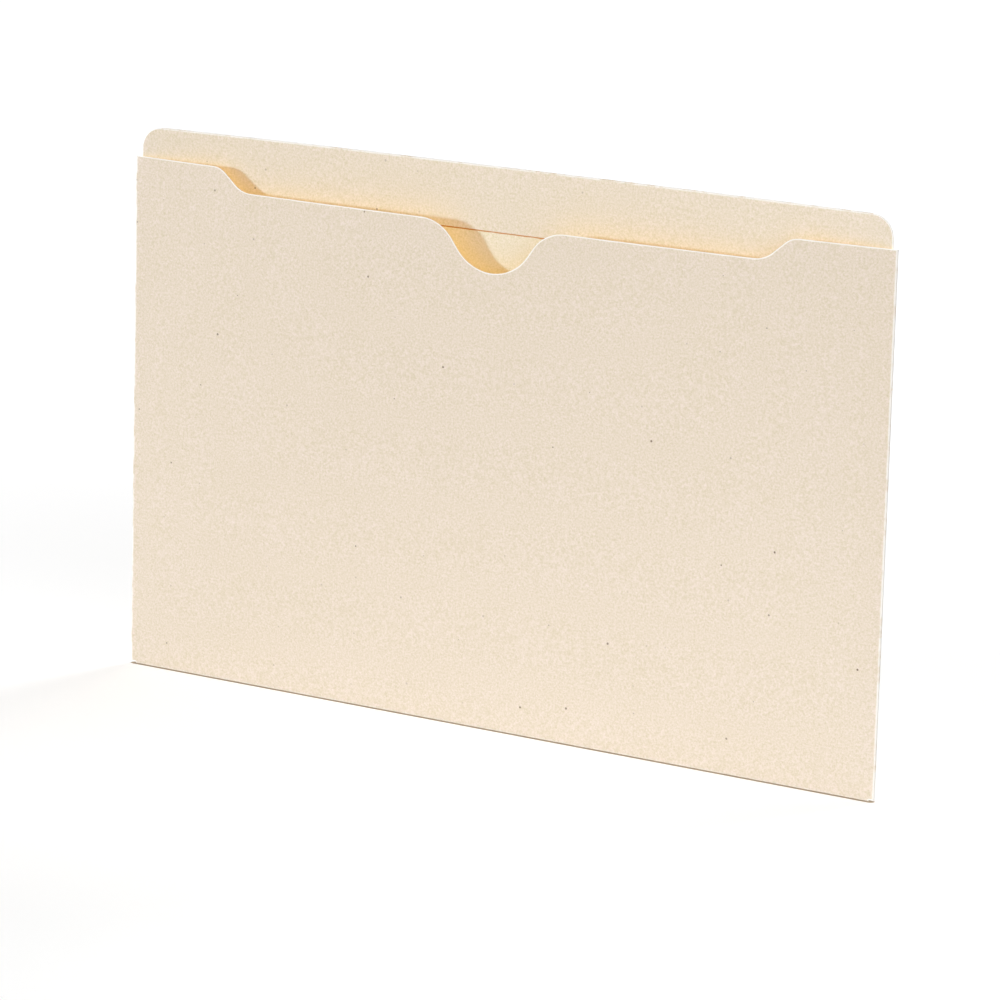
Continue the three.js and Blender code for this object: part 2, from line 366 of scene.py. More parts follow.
class NodeDesk:
    """Adds nodes to one node tree and links them."""

    def __init__(self, tree: bpy.types.NodeTree) -> None:
        """Keeps the node tree."""
        self.tree = tree

    def node(self, kind: str, inputs: Optional[dict] = None, **settings: object) -> bpy.types.Node:
        """Adds a node.

        Args:
            kind: The node's type name.
            inputs: Values or terms by input name or number.
            settings: The node's properties, which are set first.

        Returns:
            The new node.
        """
        node = self.tree.nodes.new(kind)
        for name, value in settings.items():
            setattr(node, name, value)
        self.fill(node, inputs or {})
        return node

    def fill(self, node: bpy.types.Node, inputs: dict) -> None:
        """Links or sets several inputs of a node.

        Args:
            node: The node.
            inputs: Values or terms by input name or number.
        """
        for name, value in inputs.items():
            socket = node.inputs[name]
            if isinstance(value, Term):
                self.tree.links.new(value.socket, socket)
            else:
                socket.default_value = rgba(value) if socket.type == "RGBA" else value

    def made(self, kind: str, output: object, inputs: Optional[dict] = None,
             **settings: object) -> Term:
        """Adds a node and gives one of its outputs.

        Args:
            kind: The node's type name.
            output: Name or number of the output wanted.
            inputs: Values or terms by input name or number.
            settings: The node's properties.

        Returns:
            The output.
        """
        return Term(self, self.node(kind, inputs, **settings).outputs[output])

    def outputs(self, kind: str, inputs: Optional[dict] = None, **settings: object) -> dict[str, Term]:
        """Adds a node and gives all its outputs.

        Args:
            kind: The node's type name.
            inputs: Values or terms by input name or number.
            settings: The node's properties.

        Returns:
            The outputs by name.
        """
        node = self.node(kind, inputs, **settings)
        return {socket.name: Term(self, socket) for socket in node.outputs}

    def math(self, operation: str, *values: object) -> Term:
        """Adds a Math node with up to three values."""
        return self.made("ShaderNodeMath", 0, dict(enumerate(values)), operation=operation)

    def ramp(self, value: object, low: float, high: float) -> Term:
        """Adds a smooth step from 0 at low to 1 at high.

        Args:
            value: The term that is tested.
            low: Where the step starts.
            high: Where the step ends.

        Returns:
            The step.
        """
        inputs = {"Value": value, "From Min": low, "From Max": high}
        return self.made("ShaderNodeMapRange", "Result", inputs, interpolation_type="SMOOTHSTEP")

    def noise(self, place: Term, scale: float, detail: float, **more: object) -> Term:
        """Adds a Noise node, in four dimensions where it is given a W.

        Args:
            place: The place.
            scale: The noise's scale.
            detail: Its detail.
            more: Further inputs by name.

        Returns:
            The noise, from 0 to 1.
        """
        inputs = {"Vector": place, "Scale": scale, "Detail": detail, **more}
        dimensions = "4D" if "W" in more else "3D"
        return self.made("ShaderNodeTexNoise", "Fac", inputs, noise_dimensions=dimensions)

    def split(self, place: Term) -> dict[str, Term]:
        """Adds a Separate XYZ node."""
        return self.outputs("ShaderNodeSeparateXYZ", {0: place})

    def join(self, **parts: Term) -> Term:
        """Adds a Combine XYZ node."""
        return self.made("ShaderNodeCombineXYZ", 0, parts)

    def mix(self, amount: object, first: object, second: object, blend: str = "MIX") -> Term:
        """Adds a colour Mix node.

        Args:
            amount: The factor, from 0 to 1.
            first: The colour at 0.
            second: The colour at 1.
            blend: The blend type.

        Returns:
            The mixed colour.
        """
        inputs = {"Factor": amount, "A": first, "B": second}
        return self.made("ShaderNodeMix", "Result", inputs, data_type="RGBA", blend_type=blend)

    def switch(self, ray: Term, others: Term, own: Term) -> Term:
        """Adds a Mix Shader node with one shader for a kind of ray and one for all others."""
        return self.made("ShaderNodeMixShader", 0, {0: ray, 1: others, 2: own})


def rgba(value: object) -> object:
    """Gives a plain colour its alpha, and passes anything else on."""
    return (*value, 1.0) if isinstance(value, tuple) and len(value) == 3 else value


def add_socket(tree: bpy.types.NodeTree, name: str, kind: str, way: str, value: object = None) -> None:
    """Adds a named input or output to a node tree.

    Args:
        tree: The node group.
        name: The socket's name.
        kind: The socket's type, such as NodeSocketFloat.
        way: INPUT or OUTPUT.
        value: The default of an input.
    """
    socket = tree.interface.new_socket(name=name, in_out=way, socket_type=kind)
    if value is not None:
        socket.default_value = rgba(value)


@dataclass(frozen=True)
class SheetSetting:
    """What the folding rule needs to know of one sheet, in millimetres."""

    face_y: float
    layer: Layer
    bow: float
    thickness: float
    wave: float
    seed: float
    pinch: float = 0.05
    lift: float = 0.0


@dataclass(frozen=True)
class Skin:
    """The materials of a sheet's outer face, inner face and cut rim."""

    outer: bpy.types.Material
    inner: bpy.types.Material
    rim: bpy.types.Material


class FoldingRule:
    """The Geometry Nodes tree that folds, bows and thickens a flat sheet of card.

    A flat sheet lies in the XZ plane, with X across the jacket and Z up from the bottom fold.
    The tree rolls it round its folds, bows it on a cone from each bottom corner, adds a faint
    wave, and gives it its thickness with pinched cut edges. All sheets have the same fold
    lines, because a sheet without a fold ends before its line.
    """

    NAME = "fold_and_bow"
    LENGTHS = (
        "Face Y", "Bottom Radius", "Side Line", "Side Radius", "Top Line", "Top Radius",
        "Bow", "Bow Height", "Thickness", "Pinch", "Wave", "Lift",
    )
    NUMBERS = ("Bow Roundness", "Outward", "Seed")
    MATERIALS = ("Outer Face", "Inner Face", "Cut Edge")
    WAVE_SIZE = 0.11
    STILL_BAND = 0.03
    PINCH_REACH = 0.4
    MERGE = 0.000002
    SHARP = math.radians(40)

    def __init__(self) -> None:
        """Builds the tree once."""
        self.tree = bpy.data.node_groups.new(self.NAME, "GeometryNodeTree")
        self.desk = NodeDesk(self.tree)
        add_socket(self.tree, "Geometry", "NodeSocketGeometry", "INPUT")
        for names, kind, value in (
            (self.LENGTHS, "NodeSocketFloat", 0.0),
            (self.NUMBERS, "NodeSocketFloat", 1.0),
            (self.MATERIALS, "NodeSocketMaterial", None),
        ):
            for name in names:
                add_socket(self.tree, name, kind, "INPUT", value)
        add_socket(self.tree, "Geometry", "NodeSocketGeometry", "OUTPUT")
        self.given = self.desk.outputs("NodeGroupInput")
        self.build()

    def build(self) -> None:
        """Makes the nodes: fold, bow, thickness, clean-up and materials."""
        desk = self.desk
        inputs = {"Geometry": self.given["Geometry"], "Position": self.folded()}
        solid = self.thickened(desk.made("GeometryNodeSetPosition", "Geometry", inputs))
        dressed = desk.made("GeometryNodeRealizeInstances", "Geometry", {"Geometry": solid})
        for mark, name in ((None, "Outer Face"), ("inner", "Inner Face"), ("cut", "Cut Edge")):
            inputs = {"Geometry": dressed, "Material": self.given[name]}
            if mark:
                inputs["Selection"] = self.attribute(mark)
            dressed = desk.made("GeometryNodeSetMaterial", "Geometry", inputs)
        desk.node("NodeGroupOutput", {"Geometry": dressed})

    def attribute(self, name: str) -> Term:
        """Reads a float attribute of the sheet by its name."""
        inputs = {"Name": name}
        return self.desk.made("GeometryNodeInputNamedAttribute", "Attribute", inputs, data_type="FLOAT")

    @staticmethod
    def arc(past: Term, radius: Term, turn: float) -> tuple[Term, Term, Term]:
        """Rolls a length of card round a fold.

        Args:
            past: How far the card runs beyond the fold line.
            radius: The fold's outer radius.
            turn: The fold's whole angle.

        Returns:
            The arc's rise along the card, its step across the card, and the length that is
            left after the fold.
        """
        beyond = past.at_least(0.0)
        length = radius * turn
        angle = beyond.at_most(length) / radius.at_least(HAIR)
        rise = radius * angle.math("SINE")
        step = radius * (1.0 - angle.math("COSINE"))
        return rise, step, (beyond - length).at_least(0.0)

    def folded(self) -> Term:
        """Works out where each point of the flat sheet lies on the jacket.

        Returns:
            The new position.
        """
        desk, given = self.desk, self.given
        flat = desk.split(desk.made("GeometryNodeInputPosition", 0))
        across, up = flat["X"], flat["Z"]
        far = abs(across)
        side_rise, side_step, _ = self.arc(far - given["Side Line"], given["Side Radius"], math.pi)
        low_rise, low_step, _ = self.arc(up * -1.0, given["Bottom Radius"], math.pi / 2)
        top_rise, top_step, left = self.arc(up - given["Top Line"], given["Top Radius"], math.pi)
        x = (far.at_most(given["Side Line"]) + side_rise) * across.math("SIGN")
        z = up.at_least(0.0).at_most(given["Top Line"]) - low_rise
        z = z + (top_rise - left) + given["Bottom Radius"]
        y = given["Face Y"] - low_step * given["Outward"]
        y = y + (side_step - top_step) + self.bowed(x, z)
        return desk.join(X=x, Y=y - self.attribute("lift") * given["Lift"], Z=z)

    def bowed(self, x: Term, z: Term) -> Term:
        """Works out how far a sheet stands off its flat plane.

        Args:
            x: Place across the jacket.
            z: Height.

        Returns:
            The shift along Y.
        """
        desk, given = self.desk, self.given
        height = (z - given["Bottom Radius"]).at_least(0.0)
        share = height / given["Bow Height"]
        side = (given["Side Line"] - abs(x)).at_least(0.0)
        reach = (share * given["Side Line"]).at_least(HAIR)
        part = (side / reach).at_most(1.0)
        curve = 1.0 - (1.0 - part) ** given["Bow Roundness"]
        noise = desk.noise(desk.join(X=x, Z=z), 1 / self.WAVE_SIZE, detail=2.0, W=given["Seed"])
        free = desk.ramp(side, 0.0, self.STILL_BAND) * desk.ramp(height, 0.0, self.STILL_BAND)
        return share * curve * given["Bow"] + (noise - 0.5) * given["Wave"] * free

    def thickened(self, sheet: Term) -> Term:
        """Gives the folded sheet its thickness as a closed body.

        Args:
            sheet: The geometry of its outer face.

        Returns:
            The closed body, with the attribute cut on its rim and inner on its other face.
        """
        desk, given = self.desk, self.given
        pinch = (1.0 - desk.ramp(self.attribute("edge"), 0.0, self.PINCH_REACH)) * given["Pinch"]
        normal = desk.made("GeometryNodeInputNormal", 0)
        inward = desk.made(
            "ShaderNodeVectorMath", 0, {0: normal, "Scale": pinch * -1.0}, operation="SCALE"
        )
        outer = desk.made("GeometryNodeSetPosition", "Geometry", {"Geometry": sheet, "Offset": inward})
        depth = pinch * 2.0 - given["Thickness"]
        inputs = {"Mesh": outer, "Offset Scale": depth, "Individual": False}
        pushed = desk.outputs("GeometryNodeExtrudeMesh", inputs, mode="FACES")
        marked = pushed["Mesh"]
        for name, output in (("cut", "Side"), ("inner", "Top")):
            marked = desk.made(
                "GeometryNodeStoreNamedAttribute",
                "Geometry",
                {"Geometry": marked, "Name": name, "Value": pushed[output]},
                data_type="FLOAT",
                domain="FACE",
            )
        turned = desk.made("GeometryNodeFlipFaces", "Mesh", {"Mesh": marked})
        joined = desk.node("GeometryNodeJoinGeometry")
        for skin in (turned, outer):
            desk.fill(joined, {0: skin})
        inputs = {"Geometry": Term(desk, joined.outputs[0]), "Distance": self.MERGE}
        return desk.made("GeometryNodeMergeByDistance", "Geometry", inputs)

    def apply(self, piece: bpy.types.Object, setting: SheetSetting, skin: Skin) -> None:
        """Runs the tree on a flat sheet and leaves a plain mesh.

        Args:
            piece: The object with the flat sheet.
            setting: The sheet's place, bow and thickness.
            skin: The materials of its two faces and its rim.
        """
        lengths = {
            "Face Y": setting.face_y + LAYER_SHIFT,
            "Bottom Radius": PLAN.bottom_radius,
            "Side Line": PLAN.fold_x,
            "Side Radius": PLAN.fold_outer,
            "Top Line": PLAN.tab_fold_line,
            "Top Radius": PLAN.tab_fold_radius,
            "Bow": setting.bow,
            "Bow Height": PLAN.shoulder_z - PLAN.bottom_radius,
            "Thickness": setting.thickness,
            "Pinch": setting.pinch,
            "Wave": setting.wave,
            "Lift": setting.lift,
        }
        values = {name: length * MM for name, length in lengths.items()} | {
            "Bow Roundness": PLAN.bow_roundness,
            "Outward": float(setting.layer.value),
            "Seed": setting.seed,
            "Outer Face": skin.outer,
            "Inner Face": skin.inner,
            "Cut Edge": skin.rim,
        }
        modifier = piece.modifiers.new(self.NAME, "NODES")
        modifier.node_group = self.tree
        for item in self.tree.interface.items_tree:
            if item.in_out == "INPUT" and item.name in values:
                modifier[item.identifier] = values[item.name]
        depsgraph = bpy.context.evaluated_depsgraph_get()
        flat = piece.data
        piece.data = bpy.data.meshes.new_from_object(
            piece.evaluated_get(depsgraph), preserve_all_data_layers=True, depsgraph=depsgraph
        )
        piece.modifiers.clear()
        bpy.data.meshes.remove(flat)
        piece.data.name = piece.name
        piece.data.shade_smooth()
        piece.data.set_sharp_from_angle(angle=self.SHARP)


# --------------------------------------------------------------------------- flat sheets

# Distances from a cut edge at which a sheet has rows and columns, for its pinch and its rim.
EDGE_BAND = (0.0, 0.12, 0.28, 0.5, 0.85, 1.4)
EDGE_FAR = 6.0
EDGE_ROOM = 0.9
STEEPEST = 2.5
NEAR_DOUBLE = 0.04
SLOPE_STEP = 0.02
BOTTOM_STEPS = 5
# What a division may be over a whole number by rounding alone.
ROUNDING = 1e-9


def spread(low: float, high: float, step: float) -> list[float]:
    """Even places from low to high.

    Args:
        low: The first place.
        high: The last place.
        step: The widest gap between two of them.

    Returns:
        The places, both ends among them.
    """
    parts = max(1, math.ceil(abs(high - low) / step - ROUNDING))
    return [low + (high - low) * i / parts for i in range(parts + 1)]


def arc_places(centre: float, radius: float, start: float, end: float, count: int) -> list[float]:
    """X of even steps along an arc, each at centre + radius * sin(angle)."""
    return [centre + radius * math.sin(start + (end - start) * i / count) for i in range(count + 1)]


def tidy_places(places: Sequence[float], step: float) -> list[float]:
    """Sorts places, drops near doubles and fills wide gaps.

    Args:
        places: The places that have to be there.
        step: The widest gap between two of them.

    Returns:
        The places in order.
    """
    kept: list[float] = []
    for place in sorted(places):
        if not kept or place - kept[-1] > NEAR_DOUBLE:
            kept.append(place)
    filled = kept[:1]
    for start, end in zip(kept, kept[1:]):
        filled += spread(start, end, step)[1:]
    return filled


def band_rows(low: float, high: float, slope_low: float, slope_high: float, rows: int,
              cut_low: bool = True) -> list[float]:
    """Heights of the points in one column of a sheet, whose head is a cut edge.

    Args:
        low: Height of the column's foot.
        high: Height of its head.
        slope_low: How steep the lower outline is there, as rise over run.
        slope_high: How steep the upper outline is there.
        rows: How many rows of faces the open part has.
        cut_low: Whether the foot is a cut edge too. A cut edge gets close rows.

    Returns:
        The heights from foot to head, the same number in every column of the sheet.
    """
    room = (high - low) / 2 * EDGE_ROOM
    foot, head = (
        [min(d * min(math.hypot(1, slope), STEEPEST), room * d / EDGE_BAND[-1]) for d in EDGE_BAND]
        for slope in (slope_low, slope_high)
    )
    start = [low + d for d in foot] if cut_low else [low]
    end = [high - d for d in reversed(head)]
    middle = [start[-1] + (end[0] - start[-1]) * i / rows for i in range(1, rows)]
    return start + middle + end


def bottom_rows() -> list[float]:
    """Heights on the pattern of the rows round one sheet's half of the bottom fold."""
    return [-PLAN.bottom_quarter * i / BOTTOM_STEPS for i in range(BOTTOM_STEPS, 0, -1)]


def steepness(outline: Outline, x: float) -> float:
    """Slope of an outline at a place, found from two places close by."""
    return (outline(x + SLOPE_STEP) - outline(x - SLOPE_STEP)) / (2 * SLOPE_STEP)


@dataclass
class FlatSheet:
    """A flat sheet as columns of points, each with its place on the pattern, in millimetres."""

    WELD = 1e-7

    name: str
    layer: Layer
    columns: list[float]
    rows: list[list[Optional[float]]] = field(default_factory=list)
    joins: Callable[[float, float], bool] = lambda u, v: False
    fold: Callable[[np.ndarray, np.ndarray], np.ndarray] = lambda u, v: np.full_like(u, EDGE_FAR)
    lift: Callable[[np.ndarray, np.ndarray], np.ndarray] = lambda u, v: np.zeros_like(u)

    def build(self) -> bpy.types.Object:
        """Makes the mesh of the outer face with its attributes.

        Returns:
            The object, linked to the scene.
        """
        mesh = bmesh.new()
        grid = [
            [None if v is None else mesh.verts.new((u * MM, 0.0, v * MM)) for v in column]
            for u, column in zip(self.columns, self.rows)
        ]
        for first, second in zip(grid, grid[1:]):
            for low in range(len(first) - 1):
                corners = [first[low], second[low], second[low + 1], first[low + 1]]
                if None not in corners:
                    mesh.faces.new(corners if self.layer is Layer.FRONT else corners[::-1])
        bmesh.ops.remove_doubles(mesh, verts=mesh.verts, dist=self.WELD)
        loose = [v for v in mesh.verts if not v.link_faces]
        bmesh.ops.delete(mesh, geom=loose, context="VERTS")
        data = bpy.data.meshes.new(self.name)
        edges = [
            [(v.co.x / MM, v.co.z / MM) for v in edge.verts] for edge in mesh.edges if edge.is_boundary
        ]
        mesh.to_mesh(data)
        mesh.free()
        self.measure(data, [pair for pair in edges if not all(self.joins(*end) for end in pair)])
        piece = bpy.data.objects.new(self.name, data)
        bpy.context.scene.collection.objects.link(piece)
        return piece

    def measure(self, data: bpy.types.Mesh, cuts: list) -> None:
        """Stores each point's distance to the nearest cut and fold, and its lift.

        Args:
            data: The flat mesh.
            cuts: The ends of its cut edges on the pattern.
        """
        places = np.array([v.co for v in data.vertices])[:, [0, 2]] / MM
        nearest = np.full(len(places), EDGE_FAR)
        for start, end in cuts:
            a, b = np.array(start), np.array(end)
            along = b - a
            share = np.clip((places - a) @ along / max(along @ along, HAIR**2), 0, 1)
            nearest = np.minimum(nearest, np.linalg.norm(places - a - share[:, None] * along, axis=1))
        found = {
            "edge": nearest,
            "fold": np.minimum(self.fold(places[:, 0], places[:, 1]), EDGE_FAR),
            "lift": self.lift(places[:, 0], places[:, 1]),
        }
        for name, values in found.items():
            layer = data.attributes.new(name, "FLOAT", "POINT")
            layer.data.foreach_set("value", values.astype(np.float32))


# --------------------------------------------------------------------------- finishes


class EffectGroups:
    """Shader node groups that more than one finish of the jacket uses."""

    MANILA = (0.8, 0.7, 0.57)
    BARK = (0.2, 0.13, 0.08)
    BRUISED_AND_HIGHLIT = (1.0, 0.98, 0.94)
    CLOUD_SCALE = 0.035
    GRAIN_SCALE = 1.1
    GRAIN_ROUGHNESS = 0.75
    FIBRE_LAYERS = ((0.35, 3.1), (1.9, 7.7))
    FIBRE_STRETCH = (0.22, 1.0, 1.9)
    FIBRE_SCALE = 0.9
    FIBRE_WIDTH = 0.03
    FIBRE_HEIGHT = 0.35
    SPECK_SOFTNESS = 0.5
    SPECKLESS_SHARE = 0.35
    PATCH_SCALE = 0.12
    RIM_BAND = (0.45, 1.0)
    WORN_AND_HIGHLIT_BAND = (0.3, 0.55)
    CREASE_REACH = 0.9
    CREASE_HEIGHT = -0.5

    def __init__(self) -> None:
        """Builds every group once."""
        self.mottle = self.build_mottle()
        self.specks = self.build_specks()
        self.wear = self.build_wear_and_highlight()

    def mottled(self, desk: NodeDesk, place: Term, base: Colour, cloud: float, grain: float,
                fibre: float) -> dict[str, Term]:
        """Places the mottle in a material.

        Args:
            desk: The material's desk.
            place: The place in millimetres.
            base: The card's colour.
            cloud: Strength of its clouds.
            grain: Strength of its grain.
            fibre: Strength of its fibres.

        Returns:
            The group's outputs.
        """
        values = {"Place": place, "Color": base, "Cloud": cloud, "Grain": grain, "Fibre": fibre}
        return desk.outputs("ShaderNodeGroup", values, node_tree=self.mottle)

    @staticmethod
    def start(name: str, inputs: Sequence[tuple],
              relief: bool = True) -> tuple[NodeDesk, dict[str, Term]]:
        """Starts a group that puts out a colour.

        Args:
            name: The group's name.
            inputs: Name, socket type and default of each input.
            relief: Whether the group puts out a height too.

        Returns:
            The group's desk and its inputs.
        """
        tree = bpy.data.node_groups.new(name, "ShaderNodeTree")
        for label, kind, value in inputs:
            add_socket(tree, label, "NodeSocket" + kind, "INPUT", value)
        add_socket(tree, "Color", "NodeSocketColor", "OUTPUT")
        if relief:
            add_socket(tree, "Height", "NodeSocketFloat", "OUTPUT")
        desk = NodeDesk(tree)
        return desk, desk.outputs("NodeGroupInput")

    def build_mottle(self) -> bpy.types.NodeTree:
        """Makes the cloudy tone, fine grain and short fibres of manila card.

        Returns:
            The group.
        """
        desk, given = self.start(
            "card_mottle",
            [
                ("Place", "Vector", None),
                ("Color", "Color", self.MANILA),
                ("Cloud", "Float", 0.02),
                ("Grain", "Float", 0.05),
                ("Fibre", "Float", 0.04),
            ],
        )
        place = given["Place"]
        cloud = desk.noise(place, self.CLOUD_SCALE, detail=3.0)
        grain = desk.noise(place, self.GRAIN_SCALE, detail=4.0, Roughness=self.GRAIN_ROUGHNESS)
        streaks = []
        for angle, reach in self.FIBRE_LAYERS:
            turn = {
                "Vector": place,
                "Rotation": (0.0, angle, 0.0),
                "Scale": self.FIBRE_STRETCH,
                "Location": (reach, reach, reach),
            }
            noise = desk.noise(desk.made("ShaderNodeMapping", 0, turn), self.FIBRE_SCALE, detail=2.0)
            streaks.append(desk.ramp(abs(noise - 0.5), self.FIBRE_WIDTH, 0.0))
        fibre = streaks[0] - streaks[1]
        tone = (cloud - 0.5) * given["Cloud"] + (grain - 0.5) * given["Grain"]
        tone = tone + fibre * given["Fibre"]
        level = tone + 1.0
        lit = desk.join(X=level, Y=level, Z=level + tone)
        colour = desk.mix(1.0, given["Color"], lit, "MULTIPLY")
        desk.node("NodeGroupOutput", {"Color": colour, "Height": grain + fibre * self.FIBRE_HEIGHT})
        return desk.tree

    def build_specks(self) -> bpy.types.NodeTree:
        """Makes the few dark bark specks that manila card has.

        Returns:
            The group.
        """
        desk, given = self.start(
            "card_specks",
            [
                ("Place", "Vector", None),
                ("Color", "Color", self.MANILA),
                ("Speck Color", "Color", self.BARK),
                ("Spacing", "Float", 20.0),
                ("Radius", "Float", 0.66),
                ("Strength", "Float", 0.8),
            ],
            relief=False,
        )
        place = desk.split(given["Place"])
        rate = 1.0 / given["Spacing"]
        inputs = {"Vector": desk.join(X=place["X"], Y=place["Z"]), "Scale": rate}
        cells = desk.outputs("ShaderNodeTexVoronoi", inputs, voronoi_dimensions="2D", feature="F1")
        luck = desk.outputs("ShaderNodeSeparateColor", {0: cells["Color"]})
        size = given["Radius"] * rate * luck["Red"]
        mask = desk.ramp(1.0 - cells["Distance"] / size, 0.0, self.SPECK_SOFTNESS)
        chosen = mask * luck["Green"].math("GREATER_THAN", self.SPECKLESS_SHARE)
        amount = chosen * (given["Strength"] * luck["Blue"])
        colour = desk.mix(amount, given["Color"], given["Speck Color"])
        desk.node("NodeGroupOutput", {"Color": colour})
        return desk.tree

    def build_wear_and_highlight(self) -> bpy.types.NodeTree:
        """Makes the pale rim beside a cut and the pale line along a fold, partly bruised and worn card
        and partly painted highlight where cut edges and folds catch the light.

        Returns:
            The group.
        """
        desk, given = self.start(
            "cut_and_fold_wear",
            [
                ("Place", "Vector", None),
                ("Color", "Color", self.MANILA),
                ("Rim Color", "Color", self.BRUISED_AND_HIGHLIT),
                ("Edge", "Float", EDGE_FAR),
                ("Fold", "Float", EDGE_FAR),
                ("Rim Width", "Float", 0.62),
                ("Rim Strength", "Float", 0.6),
                ("Fold Strength", "Float", 0.35),
            ],
        )
        patch = desk.noise(given["Place"], self.PATCH_SCALE, detail=4.0)
        width = given["Rim Width"] * (patch + 0.5)
        # Pale rim beside a cut: partly bruised card, partly a painted highlight of the lit cut edge.
        rim = 1.0 - desk.ramp(given["Edge"] / width, *self.RIM_BAND)
        # Pale line along a fold: partly worn card, partly a painted highlight where the fold catches
        # the light; the crease also makes a bump.
        crease = 1.0 - desk.ramp(given["Fold"], 0.0, self.CREASE_REACH)
        worn_and_highlit = crease * (given["Fold Strength"] * desk.ramp(patch, *self.WORN_AND_HIGHLIT_BAND))
        amount = (rim * given["Rim Strength"]).at_least(worn_and_highlit)
        colour = desk.mix(amount, given["Color"], given["Rim Color"])
        desk.node("NodeGroupOutput", {"Color": colour, "Height": crease * self.CREASE_HEIGHT})
        return desk.tree


def place_in_mm(desk: NodeDesk) -> Term:
    """Object coordinates in millimetres, for a material."""
    source = desk.outputs("ShaderNodeTexCoord")["Object"]
    return desk.made("ShaderNodeMapping", 0, {"Vector": source, "Scale": (1 / MM, 1 / MM, 1 / MM)})


def distance_to(desk: NodeDesk, line: str) -> Term:
    """Distance in millimetres to the nearest cut edge or fold, which each mesh carries."""
    return desk.outputs("ShaderNodeAttribute", attribute_name=line)["Fac"]


def start_material(name: str) -> tuple[bpy.types.Material, NodeDesk, bpy.types.Node]:
    """Starts a node material whose output shows a Principled shader.

    Args:
        name: The material's name.

    Returns:
        The material, its desk and its Principled shader.
    """
    material = bpy.data.materials.new(name)
    material.use_nodes = True
    material.node_tree.nodes.clear()
    desk = NodeDesk(material.node_tree)
    shader = desk.node("ShaderNodeBsdfPrincipled")
    desk.node("ShaderNodeOutputMaterial", {"Surface": Term(desk, shader.outputs[0])})
    return material, desk, shader


@dataclass(frozen=True)
class Relief:
    """How the fine height of a finish makes its bump and its roughness, and how it shines."""

    bump: float
    depth: float
    rough: float
    rough_gain: float
    specular: float

    def dress(self, desk: NodeDesk, shader: bpy.types.Node, colour: Term, height: Term,
              grain: Term) -> None:
        """Feeds a Principled shader.

        Args:
            desk: The material's desk.
            shader: The shader.
            colour: Its colour.
            height: The height that makes its bump.
            grain: The height that makes its roughness.
        """
        relief = {"Height": height, "Strength": self.bump, "Distance": self.depth}
        desk.fill(shader, {
            "Base Color": colour,
            "Normal": desk.made("ShaderNodeBump", "Normal", relief),
            "Roughness": grain * self.rough_gain + self.rough,
            "Specular IOR Level": self.specular,
        })


@dataclass(frozen=True)
class CardFinish:
    """Matte manila card, with its grain and specks, and pale cut rims and fold lines that are partly
    wear and partly painted highlight.

    A face with a glow lets that much lamp light through to what lies behind it, as thin card
    does, so that the shade behind it is warm. Deep in the pocket the deep glow takes over. A
    face with a seep also scatters that share of the light from its other side.
    """

    name: str
    base: Colour
    glow: Optional[Colour] = None
    deep_glow: Optional[Colour] = None
    seep: Optional[Colour] = None
    fold_strength: float = 0.9
    rim_strength: float = 1.0
    speck_strength: float = 1.0
    cloud: float = 0.03
    grain: float = 0.7
    fibre: float = 0.03
    glow_foot: float = 150.0
    glow_head: float = 205.0
    ior: float = 1.45
    relief: Relief = Relief(bump=0.25, depth=0.00006, rough=0.73, rough_gain=0.1, specular=0.35)

    def build(self, effects: EffectGroups) -> bpy.types.Material:
        """Makes the material.

        Args:
            effects: The shared node groups.

        Returns:
            The material.
        """
        material, desk, shader = start_material(self.name)
        place = place_in_mm(desk)
        mottle = effects.mottled(desk, place, self.base, self.cloud, self.grain, self.fibre)
        specks = desk.outputs("ShaderNodeGroup", node_tree=effects.specks, inputs={
            "Place": place, "Color": mottle["Color"], "Strength": self.speck_strength,
        })
        wear = desk.outputs("ShaderNodeGroup", node_tree=effects.wear, inputs={
            "Place": place,
            "Color": specks["Color"],
            "Rim Strength": self.rim_strength,
            "Fold Strength": self.fold_strength,
            "Edge": distance_to(desk, "edge"),
            "Fold": distance_to(desk, "fold"),
        })
        height = mottle["Height"] + wear["Height"]
        self.relief.dress(desk, shader, wear["Color"], height, mottle["Height"])
        desk.fill(shader, {"IOR": self.ior})
        if self.glow:
            face = self.lit_through(desk, Term(desk, shader.outputs[0]), place)
            desk.fill(desk.tree.nodes["Material Output"], {"Surface": face})
        return material

    def lit_through(self, desk: NodeDesk, face: Term, place: Term) -> Term:
        """Lets light through the card, for shadow rays and diffuse rays alone.

        Args:
            desk: The material's desk.
            face: The opaque shader.
            place: The place on the jacket in millimetres.

        Returns:
            The mixed shader.
        """
        near_mouth = desk.ramp(desk.split(place)["Z"], self.glow_foot, self.glow_head)
        tint = desk.mix(near_mouth, self.deep_glow, self.glow)
        clear = desk.made("ShaderNodeBsdfTransparent", 0, {"Color": tint})
        ray = desk.outputs("ShaderNodeLightPath")
        if self.seep:
            through = desk.made("ShaderNodeBsdfTranslucent", 0, {"Color": self.seep})
            soft = desk.made("ShaderNodeAddShader", 0, {0: face, 1: through})
            face = desk.switch(ray["Is Diffuse Ray"], face, soft)
        return desk.switch(ray["Is Shadow Ray"], face, clear)


@dataclass(frozen=True)
class CutEdgeFinish:
    """The pale, fibrous rim where the card is cut."""

    name: str = "card_cut_edge"
    base: Colour = (0.93, 0.87, 0.78)
    cloud: float = 0.05
    grain: float = 0.3
    fibre: float = 0.1
    relief: Relief = Relief(bump=0.5, depth=0.00005, rough=0.82, rough_gain=0.1, specular=0.25)

    def build(self, effects: EffectGroups) -> bpy.types.Material:
        """Makes the material.

        Args:
            effects: The shared node groups.

        Returns:
            The material.
        """
        material, desk, shader = start_material(self.name)
        place = place_in_mm(desk)
        mottle = effects.mottled(desk, place, self.base, self.cloud, self.grain, self.fibre)
        self.relief.dress(desk, shader, mottle["Color"], mottle["Height"], mottle["Height"])
        return material


